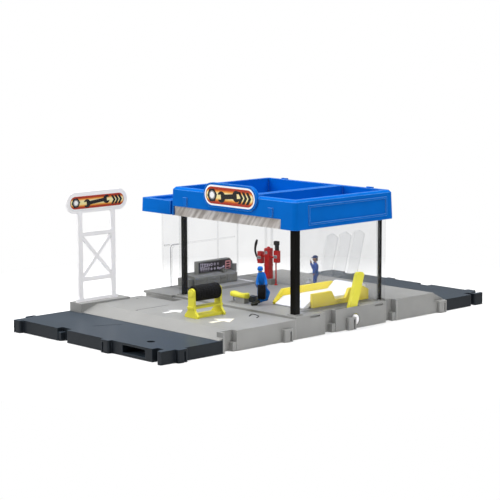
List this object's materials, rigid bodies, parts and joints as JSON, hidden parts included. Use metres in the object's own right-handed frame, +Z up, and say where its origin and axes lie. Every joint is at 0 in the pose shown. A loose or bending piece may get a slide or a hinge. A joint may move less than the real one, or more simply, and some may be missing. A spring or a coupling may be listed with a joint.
{
  "type": "toy auto repair shop",
  "caption": "Toy auto repair shop on road tiles: clear-walled bay with a lever-worked car lift, blue tray roof, workbench, tyre roller rack, roadside sign and figures.",
  "frame": {"origin": "on the ground under the middle of the base", "axes": "+Z up, +Y from the street front to the rear road plate, +X to the side with the lift lever"},
  "size_m": [0.1766, 0.3418, 0.1065],
  "materials": {
    "slate_plastic": "moulded, fine satin grain",
    "light_grey_plastic": "moulded, fine satin grain",
    "steel_screw": "zinc plated",
    "black_column": "gloss black moulding",
    "clear_plastic": "clear polystyrene, polished",
    "blue_plastic": "semi-gloss moulding",
    "shutter_label": "printed slats, satin",
    "badge_label": "glossy printed label",
    "yellow_plastic": "semi-gloss moulding",
    "mechanism_plastic": "plain acetal moulding",
    "steel_pin": "bright drawn",
    "white_plastic": "satin moulding",
    "black_rubber": "matt ribbed",
    "bench_plastic": "satin moulding",
    "tool_label": null,
    "red_plastic": "semi-gloss moulding",
    "black_plastic": "semi-gloss moulding",
    "figure_paint": "painted figure, blue overalls",
    "can_plastic": "satin grey"
  },
  "bodies": {
    "root": {"front_road_plate": "slate_plastic", "forecourt_tile": "light_grey_plastic", "shop_base": "light_grey_plastic", "rear_apron": "light_grey_plastic", "rear_road_plate": "slate_plastic", "mechanism_cover": "light_grey_plastic", "cover_screws": "steel_screw", "column_front_right": "black_column", "column_front_left": "black_column", "column_rear_right": "black_column", "clear_corner_post": "clear_plastic", "clear_wall_right": "clear_plastic", "clear_wall_left": "clear_plastic", "clear_wall_rear": "clear_plastic", "clear_wall_rear_annex": "clear_plastic", "roof_main": "blue_plastic", "annex_roof": "blue_plastic", "shutter_strip": "shutter_label", "roof_badge": "badge_label", "rack_frame": "yellow_plastic", "sign_frame": "white_plastic", "sign_badge": "badge_label", "workbench": "bench_plastic", "tool_board": "tool_label", "service_machine_base": "bench_plastic", "service_machine_body": "red_plastic", "service_machine_hose": "black_plastic", "service_machine_gun": "black_plastic", "mechanic_standing": "figure_paint", "mechanic_carrying": "figure_paint", "carried_tyre": "black_rubber", "tool_chest": "black_plastic", "oil_can": "can_plastic", "cradle_stand": "bench_plastic", "wheel_cradle": "yellow_plastic"},
    "lift_drive": {"lift_lever": "yellow_plastic", "lift_axle": "mechanism_plastic", "axle_clip": "mechanism_plastic", "drive_arm_left": "mechanism_plastic", "drive_arm_right": "mechanism_plastic"},
    "lift_idle": {"idle_arm_left": "mechanism_plastic", "idle_arm_right": "mechanism_plastic", "idle_shaft": "steel_pin"},
    "lift_table": {"lift_frame": "yellow_plastic", "lift_deck": "white_plastic", "deck_pins": "steel_pin"},
    "roller": {"rack_roller": "black_rubber"}
  },
  "joints": [
    {"name": "lift_hinge", "type": "hinge", "parent": "root", "child": "lift_drive", "pos_m": [0.05, 0.0187, 0.0065], "axis": [1, 0, 0], "range_deg": [0, 60]},
    {"name": "idle_hinge", "type": "hinge", "parent": "root", "child": "lift_idle", "pos_m": [0.05, -0.0133, 0.0065], "axis": [1, 0, 0], "range_deg": [0, 60]},
    {"name": "deck_level", "type": "hinge", "parent": "lift_drive", "child": "lift_table", "pos_m": [0.05, 0.04413, 0.01191], "axis": [1, 0, 0], "range_deg": [-60, 0]},
    {"name": "roller_spin", "type": "hinge", "parent": "root", "child": "roller", "pos_m": [0.02575, -0.07885, 0.0319], "axis": [0, 1, 0], "continuous": true}
  ],
  "couplings": [
    {"joint": "idle_hinge", "follows": "lift_hinge", "ratio": 1},
    {"joint": "deck_level", "follows": "lift_hinge", "ratio": -1}
  ]
}
